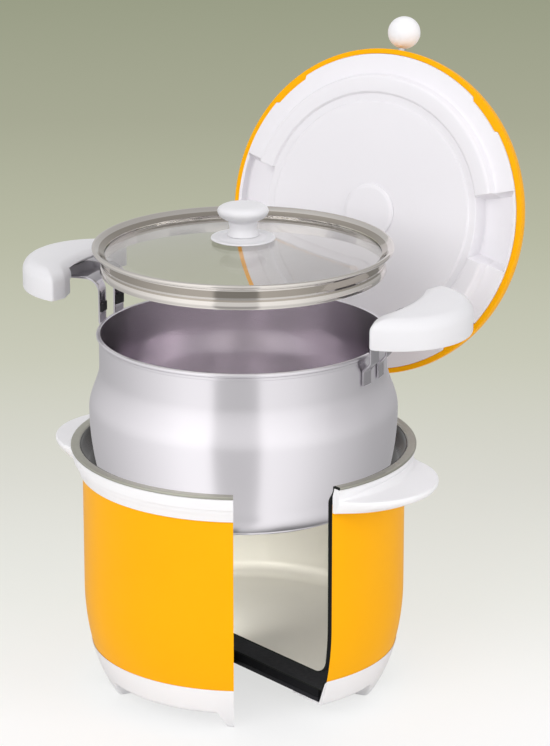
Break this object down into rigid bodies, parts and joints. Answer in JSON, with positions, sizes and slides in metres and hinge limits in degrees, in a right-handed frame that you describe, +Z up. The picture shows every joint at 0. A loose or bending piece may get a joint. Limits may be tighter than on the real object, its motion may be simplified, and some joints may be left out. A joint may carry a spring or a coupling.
{
  "type": "thermal cooker",
  "caption": "Vacuum-insulated thermal cooker, sectioned and taken apart for display: cut-away vessel, lift-out pot, glass lid and hinged insulated lid.",
  "frame": {"origin": "centre of the vessel's underside, on the ground between the feet", "axes": "+Z up along the vessel's axis, -Y towards the front, +Y towards the lid's hinge, X through the side handles"},
  "size_m": [0.3636, 0.3881, 0.4702],
  "materials": {
    "orange_enamel": "gloss",
    "white_plastic": "gloss",
    "satin_steel": "satin",
    "ring_steel": "brushed",
    "polished_steel": "polished",
    "strap_steel": "polished",
    "screw_steel": "plated",
    "black_plastic": "matt",
    "dark_foam": "matt",
    "black_rubber": "matt",
    "tinted_glass": "clear"
  },
  "bodies": {
    "vessel": {"outer_shell": "orange_enamel", "inner_liner": "satin_steel", "collar": "white_plastic", "rim_ring": "ring_steel", "base_ring": "white_plastic", "bottom_plate": "black_plastic", "base_core": "dark_foam", "bottom_screw_1": "screw_steel", "bottom_screw_2": "screw_steel", "bottom_screw_3": "screw_steel", "hinge_pin": "screw_steel"},
    "pot": {"pot_body": "polished_steel", "pot_base_disc": "polished_steel", "left_handle_bracket": "strap_steel", "right_handle_bracket": "strap_steel", "left_grip": "white_plastic", "right_grip": "white_plastic", "left_grip_screw_1": "screw_steel", "left_grip_screw_2": "screw_steel", "right_grip_screw_1": "screw_steel", "right_grip_screw_2": "screw_steel", "left_strap_buffer_1": "black_rubber", "left_strap_buffer_2": "black_rubber", "right_strap_buffer_1": "black_rubber", "right_strap_buffer_2": "black_rubber"},
    "glass_lid": {"glass_lid_frame": "polished_steel", "glass_pane": "tinted_glass", "knob_base": "white_plastic", "lid_knob": "white_plastic", "knob_washer": "screw_steel", "knob_screw": "screw_steel"},
    "outer_lid": {"lid_cover": "orange_enamel", "lid_liner": "white_plastic", "lid_insulation": "dark_foam", "port_cap": "white_plastic", "ball_knob": "white_plastic", "ball_stem": "screw_steel", "hinge_arm": "white_plastic", "hinge_arm_screw_1": "screw_steel", "hinge_arm_screw_2": "screw_steel"}
  },
  "joints": [
    {"name": "pot_lift", "type": "slide", "parent": "vessel", "child": "pot", "axis": [0, 0, 1], "range_m": [-0.107, 0]},
    {"name": "glass_lid_lift", "type": "slide", "parent": "pot", "child": "glass_lid", "axis": [0, 0, 1], "range_m": [-0.063, 0]},
    {"name": "lid_hinge", "type": "hinge", "parent": "vessel", "child": "outer_lid", "pos_m": [0, 0.152, 0.1775], "axis": [1, 0, 0], "range_deg": [0, 24]}
  ]
}
